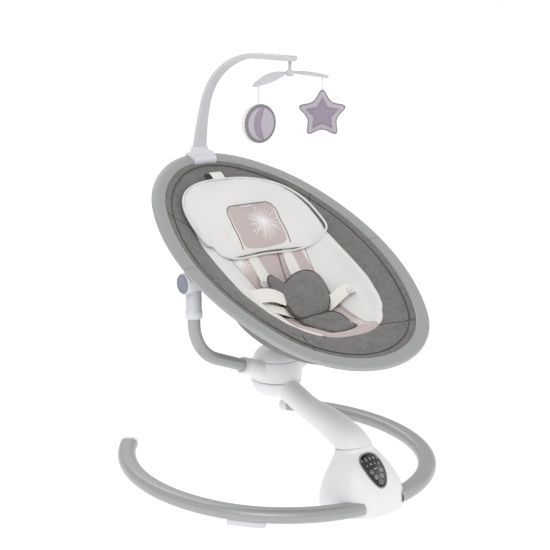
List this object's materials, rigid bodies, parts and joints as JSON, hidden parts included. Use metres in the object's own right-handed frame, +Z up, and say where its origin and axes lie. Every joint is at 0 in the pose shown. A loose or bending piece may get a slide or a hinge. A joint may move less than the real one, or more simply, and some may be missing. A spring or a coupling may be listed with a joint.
{
  "type": "baby swing",
  "caption": "Baby swing with an oval floor base, a motor pod and arm, a carrier that swings about an upright hub, a reclining padded ring seat with harness, and a toy bar with a turning mobile.",
  "frame": {"origin": "on the floor, under the middle of the whole swing's outline", "axes": "+Z up, -Y towards the foot end and the touch panel, +X towards the right-hand side seen from the panel"},
  "size_m": [0.637, 0.6255, 0.8455],
  "materials": {
    "tube_paint": "satin silver-grey paint",
    "white_shell": "satin white moulded plastic",
    "pad_rubber": "soft dark rubber",
    "steel": "zinc-plated steel",
    "bezel_plastic": "grey moulded plastic",
    "panel_gloss": "black gloss touch surface",
    "board_green": "green circuit board",
    "dark_plastic": "dark moulded plastic",
    "copper": "enamelled copper winding",
    "magnet": "sintered magnet blocks",
    "button_grey": "blue-grey moulded plastic",
    "grey_fabric": "grey melange knit",
    "liner_fabric": "white and dusty pink printed cotton",
    "webbing": "ivory satin webbing",
    "pale_plastic": "pale moulded plastic",
    "string": "braided string",
    "toy_fabric": "lilac plush"
  },
  "bodies": {
    "base": {"base_tube_left": "tube_paint", "base_tube_right": "tube_paint", "end_cap_left": "white_shell", "end_cap_right": "white_shell", "foot_pads": "pad_rubber", "pod_shell": "white_shell", "pod_bottom_cover": "white_shell", "pod_screws": "steel", "panel_bezel": "bezel_plastic", "touch_panel": "panel_gloss", "main_board": "board_green", "speaker": "dark_plastic", "power_inlet": "dark_plastic", "pod_bracket": "steel", "arm_cover_left": "white_shell", "arm_cover_right": "white_shell", "arm_tube": "steel", "hub_bowl": "white_shell", "spindle": "steel", "spindle_nut": "steel", "drive_coil": "copper"},
    "carrier": {"bearing_lower": "steel", "bearing_upper": "steel", "hub_body": "white_shell", "hub_dome": "white_shell", "drive_magnets": "magnet", "bracket_tube_left": "tube_paint", "bracket_tube_right": "tube_paint", "boss_collar_left": "bezel_plastic", "boss_collar_right": "bezel_plastic", "pivot_housing_left": "bezel_plastic", "pivot_housing_right": "bezel_plastic", "button_spring_left": "steel", "button_spring_right": "steel"},
    "button_left": {"recline_button_left": "button_grey"},
    "button_right": {"recline_button_right": "button_grey"},
    "seat": {"ring_foot": "tube_paint", "ring_head": "tube_paint", "ring_joints": "bezel_plastic", "pivot_plate_left": "steel", "pivot_plate_right": "steel", "recline_pins": "steel", "seat_bucket": "grey_fabric", "seat_liner": "liner_fabric", "head_pillow": "liner_fabric", "pillow_tab": "webbing", "shoulder_straps": "webbing", "waist_straps": "webbing", "strap_sliders": "pale_plastic", "crotch_strap": "grey_fabric", "buckle": "dark_plastic", "buckle_cover": "grey_fabric", "bar_clamp": "white_shell", "toy_arch": "white_shell", "drop_stem": "pale_plastic"},
    "mobile": {"cross_bar": "pale_plastic"},
    "moon": {"moon_string": "string", "moon_toy": "toy_fabric"},
    "star": {"star_string": "string", "star_toy": "toy_fabric"}
  },
  "joints": [
    {"name": "swing", "type": "hinge", "parent": "base", "child": "carrier", "pos_m": [0, 0.03, 0.2], "axis": [0, 0, 1], "range_deg": [-18, 18]},
    {"name": "recline", "type": "hinge", "parent": "carrier", "child": "seat", "pos_m": [0, 0.00299, 0.4265], "axis": [1, 0, 0], "range_deg": [-14, 6]},
    {"name": "left_button", "type": "slide", "parent": "carrier", "child": "button_left", "axis": [1, 0, 0], "range_m": [0, 0.004], "stiffness_N_per_m": 600, "deforming": ["button_spring_left"]},
    {"name": "right_button", "type": "slide", "parent": "carrier", "child": "button_right", "axis": [-1, 0, 0], "range_m": [0, 0.004], "stiffness_N_per_m": 600, "deforming": ["button_spring_right"]},
    {"name": "mobile_turn", "type": "hinge", "parent": "seat", "child": "mobile", "pos_m": [0, -0.01273, 0.813], "axis": [0, 0, 1], "continuous": true},
    {"name": "moon_swing", "type": "hinge", "parent": "mobile", "child": "moon", "pos_m": [-0.075, -0.01273, 0.7965], "axis": [1, 0, 0], "range_deg": [-15, 15]},
    {"name": "star_swing", "type": "hinge", "parent": "mobile", "child": "star", "pos_m": [0.082, -0.01273, 0.8032], "axis": [1, 0, 0], "range_deg": [-15, 15]}
  ]
}
